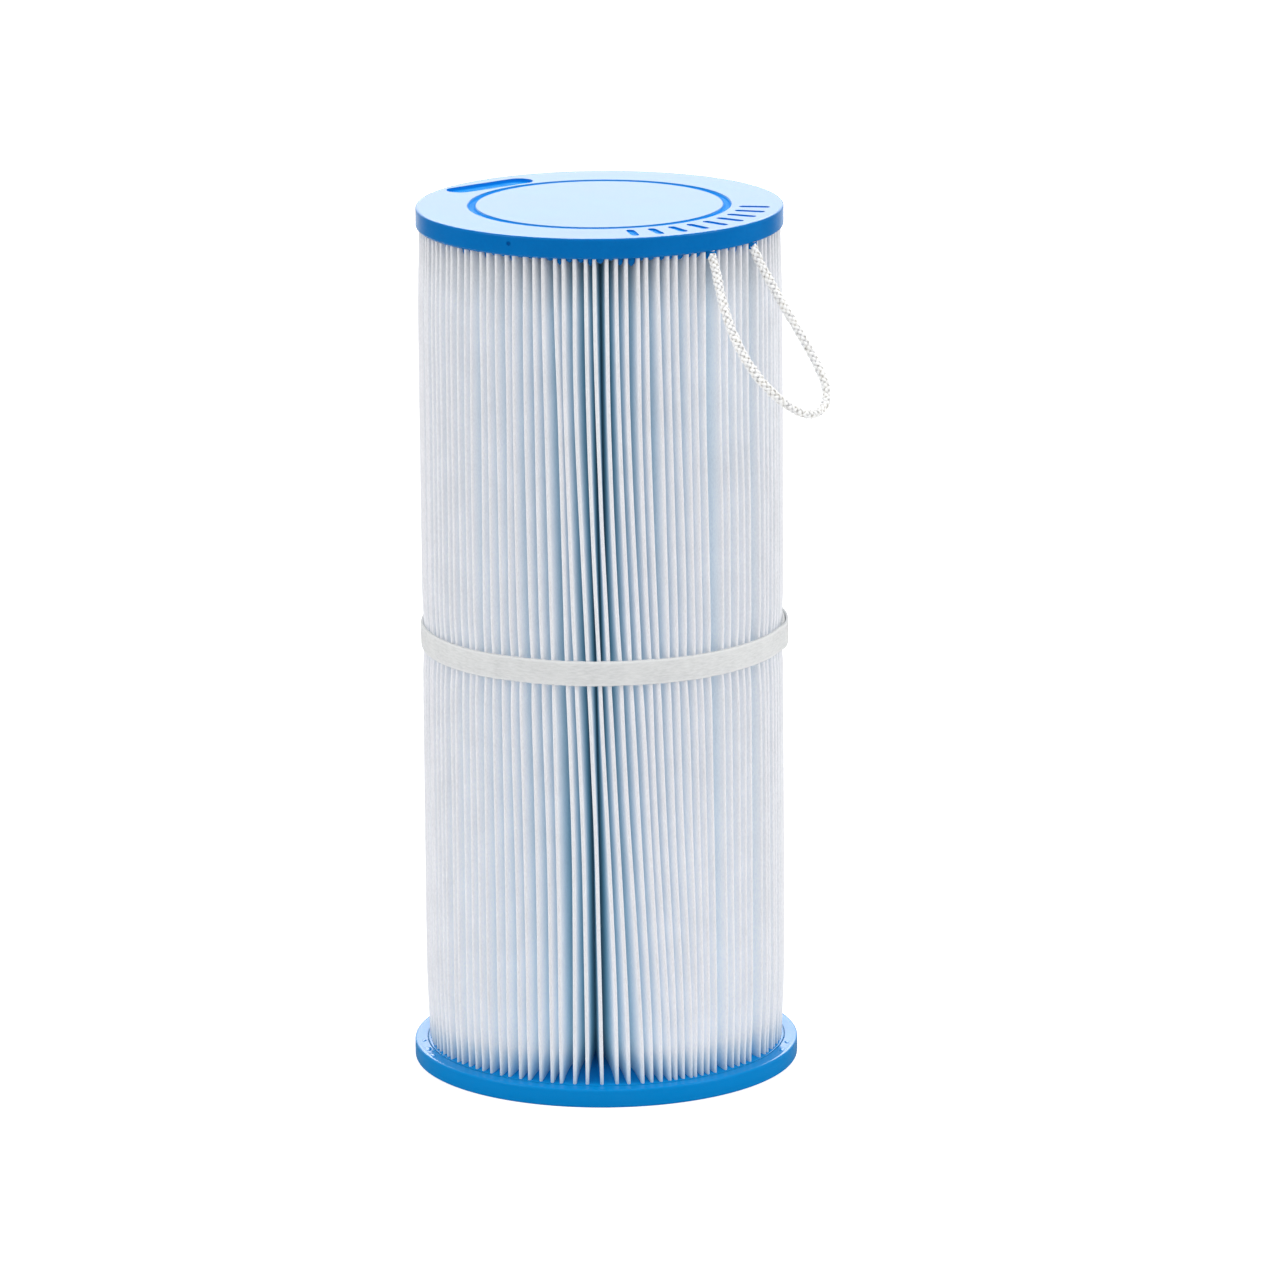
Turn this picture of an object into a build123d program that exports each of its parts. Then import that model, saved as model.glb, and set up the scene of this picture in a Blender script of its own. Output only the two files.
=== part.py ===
from build123d import *
from math import asin, atan2, cos, radians, sin, tan
import os

# A pool and spa filter cartridge. One pleated sheet stands round a perforated core, and its two edges
# and the core's ends are potted in cast urethane caps. A strap holds the pleats half way up, and a loop
# of braided cord hangs from the top cap. Millimetres, +Z up, origin at the middle of the bottom face.
# Azimuths are in degrees from +X towards +Y.

# Overall
TOTAL_HEIGHT = 300.0

# Top cap
TOP_RADIUS = 62.5
TOP_THICK = 7.0
CAP_EDGE = 0.8
GROOVE_MIDDLE = 43.4
GROOVE_TOP_WIDTH = 3.1
GROOVE_FLOOR_WIDTH = 1.5
GROOVE_DEPTH = 0.9
RECESS_MIDDLE = (-37.6, 35.7)
RECESS_LENGTH = 35.0
RECESS_WIDTH = 10.0
RECESS_DEPTH = 1.1
RECESS_AZIMUTH = 38.5
BAR_COUNT = 9
BAR_FIRST_AZIMUTH = -78.0
BAR_ARC = 70.0
BAR_MIDDLE_RADIUS = 53.0
BAR_LENGTH = 10.5
BAR_WIDTH = 2.8
BAR_DEPTH = 0.6
PIT_AZIMUTH = -119.0
PIT_RADIUS = 0.8
PIT_BELOW_TOP = 2.8

# Bottom cap
BOTTOM_RADIUS = 66.5
BOTTOM_THICK = 6.5
BORE_RADIUS = 27.0
BORE_EDGE = 0.5
RELIEF_INNER = 31.0
RELIEF_OUTER = 60.0
RELIEF_DEPTH = 0.8

# How far the sheet and the core go into each cap
TOP_POTTING = 4.0
BOTTOM_POTTING = 4.5

# Pleated sheet
PLEATS = 108
SHEET_THICK = 0.5
FOLD_RADIUS = 0.35
TIP_OUTSIDE = 61.5
UNEVEN_ANGLE = 0.35
UNEVEN_STEP = 2.4

# Core tube
CORE_OUTER = 31.2
CORE_WALL = 2.5
CORE_CLEARANCE = 0.1
WINDOWS_ROUND = 12
WINDOW_ROWS = 13
WINDOW_ROW_PITCH = 21.5
WINDOW_WIDTH = 9.0
WINDOW_HEIGHT = 14.0

# Strap round the pleats
BAND_INNER = 61.55
BAND_THICK = 1.05
BAND_LOW = 147.0
BAND_WIDTH = 8.5
BAND_EDGE = 0.2
LAP_THICK = 1.6
LAP_FROM = -8.0
LAP_TO = 20.0

# Seam bead between two pleats at the back
BEAD_INNER = 46.0
BEAD_OUTER = 57.0
BEAD_CLEARANCE = 0.05
SEAM_AZIMUTH = 90.0

# Cord handle
CORD_DIAMETER = 3.0
EXIT_RADIUS = 60.5
FRONT_EXIT = -52.4
REAR_EXIT = -33.2
EXIT_GAP_ANGLE = 5.8
PLEATS_BETWEEN_EXITS = 5
LOOP_TILT = 30.0
SWING_DEPTH = 7.6
COLLAR_RADIUS = 2.1
COLLAR_HEIGHT = 2.2

# Share of a route's shorter run that the arc at a corner takes up
CORNER_SHARE = 0.45

# The cord's route in the plane of its loop: along the line between the exits, towards the rear one,
# and down from the cap. It starts and ends inside the cap.
CORD_ROUTE = [
    (-9.9, -5.2),
    (-10.1, 0.0),
    (-11.4, 7.4),
    (-13.9, 16.0),
    (-15.5, 25.6),
    (-15.4, 35.6),
    (-12.9, 45.0),
    (-8.1, 53.4),
    (-1.3, 60.2),
    (6.1, 63.0),
    (12.9, 61.2),
    (17.2, 55.7),
    (17.7, 48.2),
    (16.2, 38.8),
    (14.2, 29.4),
    (12.3, 20.2),
    (10.8, 11.6),
    (10.1, 5.2),
    (10.1, 0.0),
    (9.9, -5.2),
]

# Worked out from the driving dimensions
TOP_UNDERSIDE = TOTAL_HEIGHT - TOP_THICK
SHEET_LOW = BOTTOM_THICK - BOTTOM_POTTING
SHEET_HIGH = TOP_UNDERSIDE + TOP_POTTING
SHEET_HEIGHT = SHEET_HIGH - SHEET_LOW
HALF_SHEET = SHEET_THICK / 2
TIP_RADIUS = TIP_OUTSIDE - FOLD_RADIUS - HALF_SHEET
VALLEY_RADIUS = CORE_OUTER + CORE_CLEARANCE + FOLD_RADIUS + HALF_SHEET
CORE_INNER = CORE_OUTER - CORE_WALL
BAND_OUTER = BAND_INNER + BAND_THICK
HALF_EXIT_ANGLE = (REAR_EXIT - FRONT_EXIT) / 2
LOOP_AZIMUTH = (REAR_EXIT + FRONT_EXIT) / 2


def at_azimuth(radius, azimuth, height=0.0):
    """The point at a radius, an azimuth in degrees and a height."""
    return Vector(radius * cos(radians(azimuth)), radius * sin(radians(azimuth)), height)


def tip_azimuths():
    """The azimuths of the pleats' tips. They leave a wide gap at each exit of the cord."""
    between_pitch = (REAR_EXIT - FRONT_EXIT - EXIT_GAP_ANGLE) / (PLEATS_BETWEEN_EXITS - 1)
    first_between = FRONT_EXIT + EXIT_GAP_ANGLE / 2
    between = [first_between + n * between_pitch for n in range(PLEATS_BETWEEN_EXITS)]
    others = PLEATS - PLEATS_BETWEEN_EXITS
    first_other = REAR_EXIT + EXIT_GAP_ANGLE / 2
    other_pitch = (360 + FRONT_EXIT - REAR_EXIT - EXIT_GAP_ANGLE) / (others - 1)
    round_the_rest = []
    for n in range(others):
        uneven = UNEVEN_ANGLE * sin(UNEVEN_STEP * n) if 0 < n < others - 1 else 0.0
        round_the_rest.append(first_other + n * other_pitch + uneven)
    return between + round_the_rest


def valley_azimuths(tips):
    """The azimuths of the valley folds, each half way from one tip to the next."""
    following = tips[1:] + [tips[0] + 360]
    return [(here + after) / 2 for here, after in zip(tips, following)]


def flank_normal(start, end, turn):
    """The left-hand normal of the flank between two fold centres that it passes on opposite sides."""
    line = end - start
    lean = asin(2 * FOLD_RADIUS / line.length)
    heading = atan2(line.Y, line.X) + turn * lean
    return Vector(-sin(heading), cos(heading))


def star_edges(shift, tips, valleys):
    """The lines and arcs of one face of the folded sheet, shift outside its middle."""
    tip_fold = FOLD_RADIUS + shift
    valley_fold = FOLD_RADIUS - shift
    edges = []
    for n, (tip, valley) in enumerate(zip(tips, valleys)):
        before = at_azimuth(VALLEY_RADIUS, valleys[n - 1])
        top = at_azimuth(TIP_RADIUS, tip)
        after = at_azimuth(VALLEY_RADIUS, valley)
        following = at_azimuth(TIP_RADIUS, tips[(n + 1) % len(tips)])
        out_normal = flank_normal(before, top, -1)
        in_normal = flank_normal(top, after, 1)
        next_normal = flank_normal(after, following, -1)
        rise_start = before + out_normal * valley_fold
        rise_end = top - out_normal * tip_fold
        fall_start = top - in_normal * tip_fold
        fall_end = after + in_normal * valley_fold
        next_start = after + next_normal * valley_fold
        tip_middle = at_azimuth(TIP_RADIUS + tip_fold, tip)
        valley_middle = at_azimuth(VALLEY_RADIUS - valley_fold, valley)
        edges.append(Line(rise_start, rise_end, mode=Mode.PRIVATE))
        edges.append(ThreePointArc(rise_end, tip_middle, fall_start, mode=Mode.PRIVATE))
        edges.append(Line(fall_start, fall_end, mode=Mode.PRIVATE))
        edges.append(ThreePointArc(fall_end, valley_middle, next_start, mode=Mode.PRIVATE))
    return edges


def seam_corners(tip_before, valley, tip_after):
    """The four corners of the bead's section, in the gap between two tips and outside their valley."""
    foot = at_azimuth(VALLEY_RADIUS, valley)
    falling = flank_normal(at_azimuth(TIP_RADIUS, tip_before), foot, 1)
    rising = flank_normal(foot, at_azimuth(TIP_RADIUS, tip_after), -1)
    inset = FOLD_RADIUS - HALF_SHEET - BEAD_CLEARANCE
    falling_out = Vector(-falling.Y, falling.X)
    rising_out = Vector(rising.Y, -rising.X)
    near = BEAD_INNER - VALLEY_RADIUS
    far = BEAD_OUTER - VALLEY_RADIUS
    return [
        foot + falling * inset + falling_out * near,
        foot + falling * inset + falling_out * far,
        foot + rising * inset + rising_out * far,
        foot + rising * inset + rising_out * near,
    ]


def loop_plane():
    """The plane of the cord's loop: X along the line between its exits, Y down and outwards."""
    outward = at_azimuth(1.0, LOOP_AZIMUTH)
    along = Vector(-outward.Y, outward.X, 0)
    down = outward * sin(radians(LOOP_TILT)) - Vector(0, 0, cos(radians(LOOP_TILT)))
    middle = outward * EXIT_RADIUS * cos(radians(HALF_EXIT_ANGLE)) + Vector(0, 0, TOP_UNDERSIDE)
    return Plane(origin=middle, x_dir=along, z_dir=along.cross(down))


def corner_radii(points):
    """For each corner of a route, the radius whose arc takes up CORNER_SHARE of its shorter run."""
    radii = []
    for before, corner, after in zip(points, points[1:], points[2:]):
        first = Vector(corner[0] - before[0], corner[1] - before[1])
        second = Vector(after[0] - corner[0], after[1] - corner[1])
        turn = radians(first.get_angle(second))
        radii.append(CORNER_SHARE * min(first.length, second.length) / tan(turn / 2))
    return radii


os.makedirs("parts", exist_ok=True)
tips = tip_azimuths()
valleys = valley_azimuths(tips)

# The folded sheet's section, used for the sheet itself and for its slots in the caps
with BuildSketch(Plane.XY.offset(SHEET_LOW)) as star:
    with BuildLine():
        add(star_edges(HALF_SHEET, tips, valleys))
    make_face()
    with BuildLine():
        add(star_edges(-HALF_SHEET, tips, valleys))
    make_face(mode=Mode.SUBTRACT)

with BuildPart() as pleated_media:
    extrude(star.sketch, amount=SHEET_HEIGHT)
pleated_media.part.label = "pleated_media"
export_step(pleated_media.part, "parts/pleated_media.step")

# The core's section, and the perforated core with its rows of windows staggered
with BuildSketch(Plane.XY.offset(SHEET_LOW)) as core_ring:
    Circle(CORE_OUTER)
    Circle(CORE_INNER, mode=Mode.SUBTRACT)

window_pitch = 360 / WINDOWS_ROUND
first_row = (BOTTOM_THICK + TOP_UNDERSIDE - (WINDOW_ROWS - 1) * WINDOW_ROW_PITCH) / 2
windows = []
for row in range(WINDOW_ROWS):
    for n in range(WINDOWS_ROUND):
        azimuth = (n + row % 2 / 2) * window_pitch
        middle = at_azimuth(CORE_OUTER - CORE_WALL / 2, azimuth, first_row + row * WINDOW_ROW_PITCH)
        windows.append(Location(middle, (0, 0, azimuth)))
with BuildPart() as core_tube:
    extrude(core_ring.sketch, amount=SHEET_HEIGHT)
    with Locations(*windows):
        Box(2 * CORE_WALL, WINDOW_WIDTH, WINDOW_HEIGHT, mode=Mode.SUBTRACT)
core_tube.part.label = "core_tube"
export_step(core_tube.part, "parts/core_tube.step")

# One length of cord, potted at both ends, cut where it leaves the cap and where the loop swings
radii = corner_radii(CORD_ROUTE)
print("cord radii:", [round(radius, 1) for radius in radii])
swing_plane = Plane(
    origin=loop_plane().from_local_coords(Vector(0, SWING_DEPTH, 0)),
    x_dir=loop_plane().x_dir,
    z_dir=loop_plane().y_dir,
)
with BuildPart() as cord:
    with BuildLine(loop_plane()) as route:
        FilletPolyline(*CORD_ROUTE, radius=radii)
    with BuildSketch(Plane(origin=route.wires()[0] @ 0, z_dir=route.wires()[0] % 0)):
        Circle(CORD_DIAMETER / 2)
    sweep()
    print("cord length:", round(route.wires()[0].length, 1), "volume:", round(cord.part.volume, 1))
    split(bisect_by=Plane.XY.offset(TOP_UNDERSIDE), keep=Keep.BOTH)
    split(bisect_by=swing_plane, keep=Keep.BOTH)
by_height = cord.solids().sort_by(Axis.Z)
roots = by_height[1:3].sort_by(Axis.Y)
tails = by_height[3:5].sort_by(Axis.Y)

cord_stretches = {
    "rope_handle": by_height[0],
    "rope_root_front": roots[0],
    "rope_root_rear": roots[1],
    "rope_tail_front": tails[0],
    "rope_tail_rear": tails[1],
}
for stretch_name, stretch in cord_stretches.items():
    with BuildPart() as cord_stretch:
        add(stretch)
    cord_stretch.part.label = stretch_name
    export_step(cord_stretch.part, f"parts/{stretch_name}.step")

# Top cap: closed disc, with a ring groove, an oblong recess and a row of bars cut in its top face
bar_azimuths = [BAR_FIRST_AZIMUTH + n * BAR_ARC / (BAR_COUNT - 1) for n in range(BAR_COUNT)]
with BuildPart() as top_end_cap:
    with BuildSketch(Plane.XY.offset(TOP_UNDERSIDE)):
        Circle(TOP_RADIUS)
    extrude(amount=TOP_THICK)
    fillet(top_end_cap.edges().filter_by(GeomType.CIRCLE), CAP_EDGE)
    with BuildSketch(Plane.XY.offset(TOTAL_HEIGHT)):
        with Locations(Location((*RECESS_MIDDLE, 0), (0, 0, RECESS_AZIMUTH))):
            SlotOverall(RECESS_LENGTH, RECESS_WIDTH)
    extrude(amount=-RECESS_DEPTH, mode=Mode.SUBTRACT)
    with BuildSketch(Plane.XY.offset(TOTAL_HEIGHT)):
        with Locations(*[Location(at_azimuth(BAR_MIDDLE_RADIUS, azimuth), (0, 0, azimuth))
                         for azimuth in bar_azimuths]):
            SlotOverall(BAR_LENGTH, BAR_WIDTH)
    extrude(amount=-BAR_DEPTH, mode=Mode.SUBTRACT)
    with BuildSketch(Plane.XZ):
        with BuildLine():
            Polyline(
                (GROOVE_MIDDLE - GROOVE_FLOOR_WIDTH / 2, TOTAL_HEIGHT - GROOVE_DEPTH),
                (GROOVE_MIDDLE + GROOVE_FLOOR_WIDTH / 2, TOTAL_HEIGHT - GROOVE_DEPTH),
                (GROOVE_MIDDLE + GROOVE_TOP_WIDTH / 2, TOTAL_HEIGHT),
                (GROOVE_MIDDLE - GROOVE_TOP_WIDTH / 2, TOTAL_HEIGHT),
                close=True,
            )
        make_face()
    revolve(axis=Axis.Z, mode=Mode.SUBTRACT)
    with Locations(at_azimuth(TOP_RADIUS, PIT_AZIMUTH, TOTAL_HEIGHT - PIT_BELOW_TOP)):
        Sphere(PIT_RADIUS, mode=Mode.SUBTRACT)
    with BuildSketch(Plane.XY.offset(TOP_UNDERSIDE - COLLAR_HEIGHT)):
        with Locations(at_azimuth(EXIT_RADIUS, FRONT_EXIT), at_azimuth(EXIT_RADIUS, REAR_EXIT)):
            Circle(COLLAR_RADIUS)
    extrude(amount=COLLAR_HEIGHT)
    extrude(star.sketch, amount=SHEET_HEIGHT, mode=Mode.SUBTRACT)
    extrude(core_ring.sketch, amount=SHEET_HEIGHT, mode=Mode.SUBTRACT)
    add(cord.solids(), mode=Mode.SUBTRACT)
top_end_cap.part.label = "top_end_cap"
export_step(top_end_cap.part, "parts/top_end_cap.step")

# Bottom cap: ring with the standpipe bore and a shallow relief between two sealing lands
with BuildPart() as bottom_end_cap:
    with BuildSketch():
        Circle(BOTTOM_RADIUS)
    extrude(amount=BOTTOM_THICK)
    fillet(bottom_end_cap.edges().filter_by(GeomType.CIRCLE), CAP_EDGE)
    with BuildSketch():
        Circle(BORE_RADIUS)
    extrude(amount=BOTTOM_THICK, mode=Mode.SUBTRACT)
    mouth = bottom_end_cap.faces().sort_by(Axis.Z)[0].inner_wires()[0]
    fillet(mouth.edges(), BORE_EDGE)
    with BuildSketch():
        Circle(RELIEF_OUTER)
        Circle(RELIEF_INNER, mode=Mode.SUBTRACT)
    extrude(amount=RELIEF_DEPTH, mode=Mode.SUBTRACT)
    extrude(star.sketch, amount=SHEET_HEIGHT, mode=Mode.SUBTRACT)
    extrude(core_ring.sketch, amount=SHEET_HEIGHT, mode=Mode.SUBTRACT)
bottom_end_cap.part.label = "bottom_end_cap"
export_step(bottom_end_cap.part, "parts/bottom_end_cap.step")

# Strap with its two ends lapped
with BuildPart() as support_band:
    with BuildSketch(Plane.XY.offset(BAND_LOW)):
        Circle(BAND_OUTER)
        with BuildLine():
            CenterArc((0, 0), BAND_OUTER + LAP_THICK, LAP_FROM, LAP_TO - LAP_FROM)
            Line(at_azimuth(BAND_OUTER + LAP_THICK, LAP_FROM), at_azimuth(BAND_INNER, LAP_FROM))
            Line(at_azimuth(BAND_OUTER + LAP_THICK, LAP_TO), at_azimuth(BAND_INNER, LAP_TO))
            CenterArc((0, 0), BAND_INNER, LAP_FROM, LAP_TO - LAP_FROM)
        make_face()
        Circle(BAND_INNER, mode=Mode.SUBTRACT)
    extrude(amount=BAND_WIDTH)
    fillet(support_band.edges().filter_by(GeomType.CIRCLE).group_by(SortBy.RADIUS)[-1], BAND_EDGE)
support_band.part.label = "support_band"
export_step(support_band.part, "parts/support_band.step")

# Hot-melt bead between the two pleats that close the sheet into a star
seam = min(range(PLEATS), key=lambda n: abs(valleys[n] - SEAM_AZIMUTH))
bead_corners = seam_corners(tips[seam], valleys[seam], tips[(seam + 1) % PLEATS])
with BuildPart() as seam_bead:
    with BuildSketch(Plane.XY.offset(BOTTOM_THICK)):
        with BuildLine():
            Polyline(*bead_corners, close=True)
        make_face()
    extrude(amount=TOP_UNDERSIDE - BOTTOM_THICK)
seam_bead.part.label = "seam_bead"
export_step(seam_bead.part, "parts/seam_bead.step")
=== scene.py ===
import math

import bpy
import numpy as np
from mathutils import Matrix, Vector


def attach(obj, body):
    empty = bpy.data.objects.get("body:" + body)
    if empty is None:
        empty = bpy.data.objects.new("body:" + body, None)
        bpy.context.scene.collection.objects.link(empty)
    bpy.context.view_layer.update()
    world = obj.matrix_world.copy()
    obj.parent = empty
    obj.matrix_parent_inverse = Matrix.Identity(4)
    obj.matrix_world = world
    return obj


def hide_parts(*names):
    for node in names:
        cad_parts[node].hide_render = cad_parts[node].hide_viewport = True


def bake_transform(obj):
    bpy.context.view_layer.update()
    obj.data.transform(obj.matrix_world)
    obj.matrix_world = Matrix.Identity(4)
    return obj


# A pool and spa filter cartridge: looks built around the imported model. Named sizes are millimetres
# where nothing else is said, and the mesh builders turn them into metres. Distances in the materials
# are metres, as shader nodes read them. Azimuths are degrees from +X towards +Y, and the camera
# looks along +Y.

MM = 0.001
SEED = 20

# Caps
CAP_UNDERSIDE = 293.0
TOP_FACE = 300.0
TOP_RADIUS = 62.5
RIM_INSIDE = 61.0
RIM_OUTSIDE = 61.5
BOTTOM_RADIUS = 66.5
BOTTOM_TOP = 6.5
BORE_RADIUS = 27.0
RELIEF_INNER = 31.0
RELIEF_OUTER = 60.0
RELIEF_DEPTH = 0.8
CAP_EDGE = 0.9
BORE_EDGE = 0.5
WICKED_UP = 3.0
LUMP_DEPTH = 3.4
LUMP_INSET = 1.9
LUMP_RINGS = 5
LUMP_SIDES = 10
# Low beads on the ledge of the bottom cap: azimuth, radius, length, width, height
LEDGE_BEADS = [
    (-174, 63.4, 3.6, 2.2, 0.14),
    (-165, 63.6, 6.6, 2.8, 0.16),
    (-158, 64.2, 5.6, 2.4, 0.15),
    (-19, 64.0, 5.6, 2.4, 0.16),
    (-11, 63.6, 3.8, 2.2, 0.14),
    (64, 64.0, 4.0, 1.8, 0.24),
    (141, 63.8, 4.6, 1.9, 0.24),
]

# Pleated sheet
PLEATS = 108
HALF_SHEET = 0.25
FOLD_RADIUS = 0.35
TIP_RADIUS = 60.9
VALLEY_RADIUS = 31.9
SHEET_LOW = 2.0
SHEET_HIGH = 297.0
# How the folds stray: all but the height of the fan, the belly, the raggedness and the bow in degrees
LEAN = 8.0
LEAN_AZIMUTH = -87.0
LEAN_REACH_LEFT = 28.0
LEAN_REACH_RIGHT = 30.0
FAN_OUT = 1.9
FAN_MIDDLE = -8.0
FAN_HEIGHT = 110.0
STRAY = 0.36
KINK = 0.10
BELLY = 0.62
RAGGED = 0.14
BOW = 0.22
TIP_STEPS = 8
VALLEY_STEPS = 4
FLANK_SHARES = [0.12, 0.3, 0.5, 0.68, 0.82, 0.93]

# Glue line that closes the sheet into a star
SEAM_AZIMUTH = 90.0
GLUE_INNER = 46.0
GLUE_OUTER = 57.0
GLUE_HALF_INNER = 0.74
GLUE_HALF_OUTER = 1.26

# Strap
BAND_INNER = 61.6
BAND_THICK = 1.0
BAND_LOW = 147.0
BAND_WIDTH = 8.5
LAP_FROM = -8.0
LAP_TO = 20.0
LAP_RISE = 1.25
LAP_SLACK = 0.30
FRAY = 0.06

# Cord
EXIT_RADIUS = 60.5
FRONT_EXIT = -52.4
REAR_EXIT = -33.2
EXIT_GAP_ANGLE = 5.8
PLEATS_BETWEEN_EXITS = 5
LOOP_TILT = 30.0
CORD_STEP = 0.2
YARN_LAY = 8.0
YARNS_EACH_WAY = 4
YARN_RADIUS = 1.13
YARN_PITCH_RADIUS = 1.15
YARN_SWING = 0.22
YARN_WIDTH = 0.98
YARN_HEIGHT = 0.52
FILLING = 2.0
# Points of the route in the loop's plane: along the line between the exits, and down
CORD_ROUTE = [
    (-9.9, -5.2),
    (-10.1, 0.0),
    (-11.4, 7.4),
    (-13.9, 16.0),
    (-15.5, 25.6),
    (-15.4, 35.6),
    (-12.9, 45.0),
    (-8.1, 53.4),
    (-1.3, 60.2),
    (6.1, 63.0),
    (12.9, 61.2),
    (17.2, 55.7),
    (17.7, 48.2),
    (16.2, 38.8),
    (14.2, 29.4),
    (12.3, 20.2),
    (10.8, 11.6),
    (10.1, 5.2),
    (10.1, 0.0),
    (9.9, -5.2),
]

# Studio: strengths of the sky and the floor, and each soft box's place and width in metres and power in watts
SKY_SEEN = 1.05
SKY_HORIZON = 0.28
SKY_ZENITH = 1.0
SKY_AROUND = 0.35
SKY_REFLECTED = 2.45
SKY_HOT = 4.0
FLOOR_GLOW = 0.62
FLOOR_HALF_WIDTH = 9000.0
SOFTBOXES = [
    ("softbox_left", (-1.5, -0.6, 1.2), 0.9, 6.8),
    ("softbox_right", (1.5, -0.5, 1.2), 0.9, 8.6),
    ("softbox_back", (0.2, 1.5, 1.4), 0.9, 1.2),
    ("softbox_top", (0.0, 0.0, 1.8), 1.0, 4.8),
]
LIT_POINT = (0, 0, 0.15)

# Camera: place in metres, pitch from straight down in degrees, roll in radians
CAMERA_PLACE = (0, -2.5807, 0.7891)
CAMERA_PITCH = 76.04
CAMERA_ROLL = -0.0084
CAMERA_LENS = 217.47
CAMERA_SHIFT = 0.02892


# ---------------------------------------------------------------- mesh helpers


def new_mesh(name, points, faces, smooth=True):
    """An object made from points in millimetres and faces."""
    mesh = bpy.data.meshes.new(name)
    mesh.from_pydata((np.asarray(points, float) * MM).tolist(), [], faces)
    mesh.update()
    if smooth:
        mesh.polygons.foreach_set("use_smooth", [True] * len(mesh.polygons))
    obj = bpy.data.objects.new(name, mesh)
    bpy.context.scene.collection.objects.link(obj)
    return obj


def grid_faces(rows, columns, start=0, close_rows=False, close_columns=False, flip=False):
    """Quads between rows x columns points numbered row by row."""
    r = np.arange(rows if close_rows else rows - 1)
    c = np.arange(columns if close_columns else columns - 1)
    r, c = (a.ravel() for a in np.meshgrid(r, c, indexing="ij"))
    r2, c2 = (r + 1) % rows, (c + 1) % columns
    quads = np.stack([r * columns + c, r * columns + c2, r2 * columns + c2, r2 * columns + c], 1)
    if flip:
        quads = quads[:, ::-1]
    return (quads + start).tolist()


def on_circle(radius, azimuth, height=0.0):
    """The point at a radius, an azimuth in degrees and a height, in millimetres."""
    a = np.radians(azimuth)
    return np.stack(np.broadcast_arrays(radius * np.cos(a), radius * np.sin(a), height), -1)


def smooth_step(x, low, high):
    """0 below low, 1 above high, smooth between."""
    t = np.clip((x - low) / (high - low), 0, 1)
    return t * t * (3 - 2 * t)


def bump(x, middle, width):
    """1 at the middle, falling to 0 on both sides."""
    return np.exp(-(((x - middle) / width) ** 2))


def lathe(name, profile, segments):
    """A closed (radius, height) profile turned round the Z axis."""
    profile = np.asarray(profile, float)
    azimuths = np.arange(segments) * 360 / segments
    points = np.concatenate([on_circle(profile[:, 0], a, profile[:, 1]) for a in azimuths])
    return new_mesh(name, points, grid_faces(segments, len(profile), 0, True, True, True))


def rounded(corners, steps=5):
    """A closed profile with each (radius, height, fillet) corner rounded by its fillet."""
    out = []
    count = len(corners)
    for n, (r, z, fillet) in enumerate(corners):
        here = np.array([r, z])
        before = np.array(corners[n - 1][:2]) - here
        after = np.array(corners[(n + 1) % count][:2]) - here
        start = here + before / np.linalg.norm(before) * fillet
        end = here + after / np.linalg.norm(after) * fillet
        for t in np.linspace(0, 1, steps):
            out.append((1 - t) ** 2 * start + 2 * t * (1 - t) * here + t * t * end)
    return out


# ---------------------------------------------------------------- node helpers


def new_material(name):
    mat = bpy.data.materials.new(name)
    mat.use_nodes = True
    return mat, mat.node_tree, mat.node_tree.nodes["Principled BSDF"]


def node(tree, kind, **values):
    """A node with its properties set by name."""
    made = tree.nodes.new("ShaderNode" + kind)
    for key, value in values.items():
        setattr(made, key, value)
    return made


def object_coordinates(tree):
    return node(tree, "TexCoord").outputs["Object"]


def scaled(tree, vector, factors):
    scale = node(tree, "VectorMath", operation="MULTIPLY")
    tree.links.new(vector, scale.inputs[0])
    scale.inputs[1].default_value = factors
    return scale.outputs[0]


def from_axis(tree, place):
    """The distance from the Z axis, in metres."""
    length = node(tree, "VectorMath", operation="LENGTH")
    tree.links.new(scaled(tree, place, (1, 1, 0)), length.inputs[0])
    return length.outputs["Value"]


def part_of(tree, vector, letter):
    """One of a vector's X, Y and Z."""
    split = node(tree, "SeparateXYZ")
    tree.links.new(vector, split.inputs[0])
    return split.outputs[letter]


def noise(tree, vector, scale, detail=2.0, roughness=0.5):
    made = node(tree, "TexNoise")
    made.inputs["Scale"].default_value = scale
    made.inputs["Detail"].default_value = detail
    made.inputs["Roughness"].default_value = roughness
    tree.links.new(vector, made.inputs["Vector"])
    return made.outputs["Fac"]


def remap(tree, value, from_low, from_high, to_low, to_high):
    """One range mapped to another, held at its ends."""
    made = node(tree, "MapRange")
    for n, number in enumerate((from_low, from_high, to_low, to_high), 1):
        made.inputs[n].default_value = number
    tree.links.new(value, made.inputs[0])
    return made.outputs[0]


def math_node(tree, operation, first, second=None):
    """A Math node on sockets or numbers."""
    made = node(tree, "Math", operation=operation)
    for n, value in enumerate((first, second)):
        if value is None:
            continue
        if isinstance(value, (int, float)):
            made.inputs[n].default_value = value
        else:
            tree.links.new(value, made.inputs[n])
    return made.outputs[0]


def ramp(tree, value, stops):
    """A colour ramp through (position, colour) stops."""
    made = node(tree, "ValToRGB")
    elements = made.color_ramp.elements
    while len(elements) < len(stops):
        elements.new(0.5)
    for element, (position, colour) in zip(elements, stops):
        element.position = position
        element.color = (*colour, 1)
    tree.links.new(value, made.inputs[0])
    return made.outputs[0]


def mixed(tree, factor, first, second):
    """Two colours, each a socket or a tuple, mixed by a socket."""
    made = node(tree, "Mix", data_type="RGBA")
    for socket, value in ((0, factor), (6, first), (7, second)):
        if isinstance(value, tuple):
            made.inputs[socket].default_value = (*value, 1)
        else:
            tree.links.new(value, made.inputs[socket])
    return made.outputs[2]


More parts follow.
